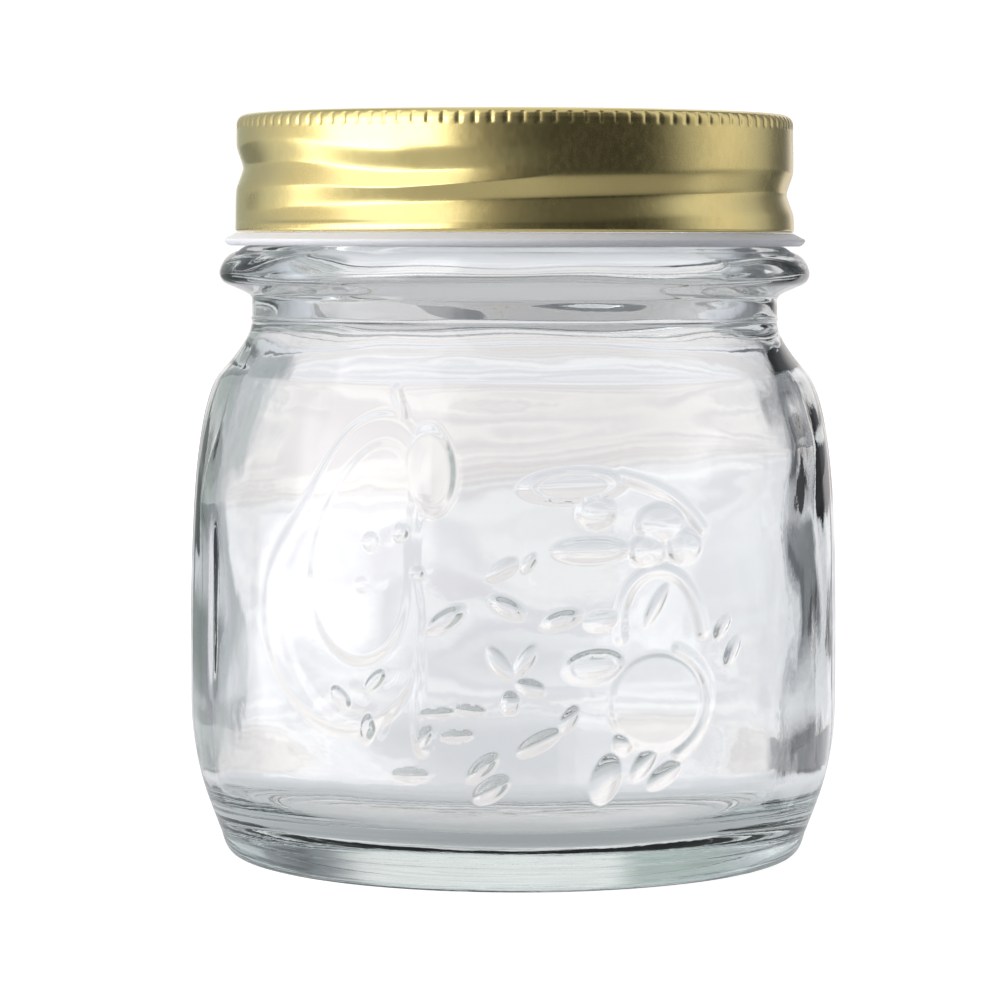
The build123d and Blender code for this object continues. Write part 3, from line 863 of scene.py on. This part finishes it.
def colour_ramp(n, value, stops_in):
    """A ramp from (place 0 to 1, rgba) pairs."""
    node = n.tree.nodes.new("ShaderNodeValToRGB")
    node.color_ramp.interpolation = "EASE"
    stops = node.color_ramp.elements
    while len(stops) > 1:
        stops.remove(stops[-1])
    for i, (spot, colour) in enumerate(stops_in):
        stop = stops[0] if i == 0 else stops.new(spot)
        stop.position = spot
        stop.color = colour
    n.put(node.inputs[0], value)
    return node.outputs


def room_colour(n, x, y, column):
    """Colour of the room in a horizontal direction, from the ROOM list."""
    turn = n.math("ARCTAN2", x, n.math("MULTIPLY", y, -1.0))
    stops = []
    for row in ROOM:
        level, tone = row[column], row[3]
        solid = 0 if level is OPEN else 1
        rgb = [(level or 0) / ROOM_PEAK * c for c in tone]
        stops.append(((row[0] + 180) / 360, (*rgb, solid)))
    where = n.range(turn, -math.pi, math.pi, 0.0, 1.0, "LINEAR")
    return colour_ramp(n, where, stops)


def clouds(n, x, y, dip):
    """Soft uneven tone of the backdrop; dip is how far below level it lies."""
    turn = n.math("ARCTAN2", x, y)
    spot = n.add("ShaderNodeCombineXYZ", X=n.math("MULTIPLY", turn, CLOUDS[0]),
                 Y=n.math("MULTIPLY", dip, CLOUDS[1]), Z=2.0)
    patch = n.range(n.noise(spot.outputs[0], 1.0, 0.6), 0.32, 0.68)
    return n.mix(patch, (*CLOUD_LOW, 1), (*CLOUD_HIGH, 1))


def pale_sheet(n, x, y, away):
    """The pale sheet near the jar, with a painted shadow under the jar and painted shade on the
    camera's side.
    """
    last = FLOOR_TONE[-1][0]
    stops = [(spot / last, (*rgb, 1)) for spot, rgb in FLOOR_TONE]
    # painted shadow: the dark first stops of FLOOR_TONE darken the sheet under the jar
    sheet = colour_ramp(n, n.math("DIVIDE", away, last), stops)[0]
    dip = n.math("DIVIDE", 0.05, n.math("MAXIMUM", away, 0.05))
    cloudy = n.mix(n.range(away, 0.1, 0.3), (1, 1, 1, 1), clouds(n, x, y, dip))
    sheet = n.vector("MULTIPLY", sheet, cloudy)
    # painted shade: the sheet on the camera's side is dimmed, deeper towards the right
    front = n.range(y, -0.07, 0.0, 1.0, 0.0)
    level = n.range(x, 0.0, 0.12, FRONT_SHADE, RIGHT_SHADE)
    dim = n.math("MULTIPLY", front, n.math("SUBTRACT", level, 1.0))
    return n.vector("SCALE", sheet, n.math("ADD", dim, 1.0))


def mirrored_floor(n, x, y):
    """What the glass and the metal see: the pale sheet near the jar, glowing with its painted
    shadow and painted shade, then the room.
    """
    away = n.length(x, y)
    sheet = pale_sheet(n, x, y, away)
    beside = n.math("MAXIMUM", n.math("SUBTRACT", n.math("ABSOLUTE", x), SIDE), 0.0001)
    beside = n.math("MULTIPLY", beside, n.math("SIGN", x))
    ground, solid = room_colour(n, beside, y, 2)
    walls = room_colour(n, beside, y, 1)[0]
    room = n.vector("SCALE", n.mix(n.range(away, *WALL_FLOOR), ground, walls), ROOM_PEAK)
    cover_front = n.range(away, *FRONT_FLOOR)
    gain = n.math("SUBTRACT", n.range(away, *BACK_FLOOR), cover_front)
    gain = n.math("MULTIPLY", gain, n.range(y, -0.02, 0.02))
    cover = n.math("MULTIPLY", n.math("ADD", cover_front, gain), solid)
    glow = n.add("ShaderNodeEmission", Color=n.mix(cover, sheet, room), Strength=1.0)
    return glow.outputs[0]


def white_paper(n, pos):
    """What the camera sees: plain white paper."""
    tint = n.mix(n.noise(pos, 40.0, 3.0), (0.40, 0.40, 0.41, 1), (0.42, 0.42, 0.425, 1))
    paper = n.add("ShaderNodeBsdfDiffuse", Color=tint, Roughness=0.6)
    lit = n.add("ShaderNodeEmission", Color=(1, 1, 1, 1), Strength=PAPER_GLOW)
    both = n.add("ShaderNodeAddShader")
    n.put(both.inputs[0], paper.outputs[0])
    n.put(both.inputs[1], lit.outputs[0])
    return both.outputs[0]


def make_floor():
    radius, rings, spokes = 3.0, 12, 96      # radius in metres
    t = np.linspace(0, TAU, spokes, endpoint=False)[None, :]
    r = (np.linspace(0, 1, rings + 1)[:, None] ** 2) * radius / MM
    grid = spin(r, 0 * r, t)
    floor = mesh_object("floor", grid[::-1], poles=(False, True))
    mat, n = new_material("floor")
    pos = n.add("ShaderNodeTexCoord").outputs["Object"]
    x, y, _ = n.add("ShaderNodeSeparateXYZ", Vector=pos).outputs
    camera_ray = n.add("ShaderNodeLightPath").outputs["Is Camera Ray"]
    finish_material(n, n.choose(camera_ray, mirrored_floor(n, x, y), white_paper(n, pos)))
    floor.data.materials.append(mat)


def room_all_round(n):
    """The walls by direction, their tone by height, and the ceiling."""
    ray = n.add("ShaderNodeTexCoord").outputs["Generated"]
    x, y, z = n.add("ShaderNodeSeparateXYZ", Vector=ray).outputs
    stops = [((spot + 1) / 2, (*rgb, 1)) for spot, rgb in WALL_TONE]
    height = n.range(z, -1.0, 1.0, 0.0, 1.0, "LINEAR")
    tone = colour_ramp(n, height, stops)[0]
    behind = n.range(y, 0.75, 0.9)
    dip = n.math("MULTIPLY", z, -1.0)
    tone = n.mix(behind, tone, n.vector("MULTIPLY", tone, clouds(n, x, y, dip)))
    walls = room_colour(n, x, y, 1)[0]
    limited = n.vector("MINIMUM", walls, (WINDOW_OVER / ROOM_PEAK,) * 3)
    walls = n.mix(n.range(z, *WINDOW_TOP), walls, limited)
    walls = n.vector("MULTIPLY", walls, tone)
    roof = [c / ROOM_PEAK for c in CEILING]
    seen = n.mix(n.range(z, 0.84, 0.95), walls, (*roof, 1))
    return n.vector("ADD", seen, n.range(z, 0.1, 0.5, 0.0, UPPER_LIFT / ROOM_PEAK))


def make_world():
    world = bpy.data.worlds.new("studio")
    bpy.context.scene.world = world
    world.use_nodes = True
    n = Nodes(world.node_tree)
    room = n.add("ShaderNodeBackground", Color=room_all_round(n), Strength=ROOM_PEAK)
    white = n.add("ShaderNodeBackground", Color=(1, 1, 1, 1), Strength=BACKDROP_GLOW)
    camera_ray = n.add("ShaderNodeLightPath").outputs["Is Camera Ray"]
    out = n.add("ShaderNodeOutputWorld")
    n.put(out.inputs["Surface"], n.choose(camera_ray, room.outputs[0], white.outputs[0]))


def make_camera():
    cam = bpy.data.cameras.new("camera")
    cam.lens = CAMERA_LENS
    cam.sensor_width = CAMERA_SENSOR
    cam.clip_start = 0.01
    obj = bpy.data.objects.new("camera", cam)
    bpy.context.scene.collection.objects.link(obj)
    obj.location = CAMERA_AT
    turn = (Matrix.Rotation(math.radians(CAMERA_YAW), 3, "Z")
            @ Matrix.Rotation(math.radians(90 - CAMERA_DOWN), 3, "X")
            @ Matrix.Rotation(math.radians(CAMERA_ROLL), 3, "Z"))
    obj.rotation_mode = "QUATERNION"
    obj.rotation_quaternion = turn.to_quaternion()
    bpy.context.scene.camera = obj


# ----------------------------------------------------------------- put together
def add_piece(obj, mat, body, node):
    """Puts a piece in place of its CAD node, on the body it moves with."""
    obj.data.materials.append(mat)
    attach(obj, body)
    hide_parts(node)


gold_band = gold_material("gold_band", (0.86, 0.73, 0.34, 1), (0.80, 0.66, 0.29, 1))
gold_lid = gold_material("gold_lid", (0.87, 0.75, 0.38, 1), (0.82, 0.69, 0.33, 1), radial=True)
add_piece(make_jar(), glass_material(), "jar", "glass_jar")
add_piece(make_ring(), ring_material(), "jar", "shoulder_ring")
add_piece(make_lid(), gold_lid, "lid", "lid_disc")
add_piece(make_compound(), compound_material(), "lid", "sealing_compound")
add_piece(make_band(), gold_band, "band", "screw_band")
make_floor()
make_world()
make_camera()

scene = bpy.context.scene
scene.view_settings.view_transform = "Standard"
scene.view_settings.look = "None"
scene.cycles.max_bounces = 18
scene.cycles.transmission_bounces = 14
scene.cycles.glossy_bounces = 8
scene.cycles.diffuse_bounces = 3
scene.cycles.sample_clamp_indirect = 8.0
scene.cycles.use_denoising = True
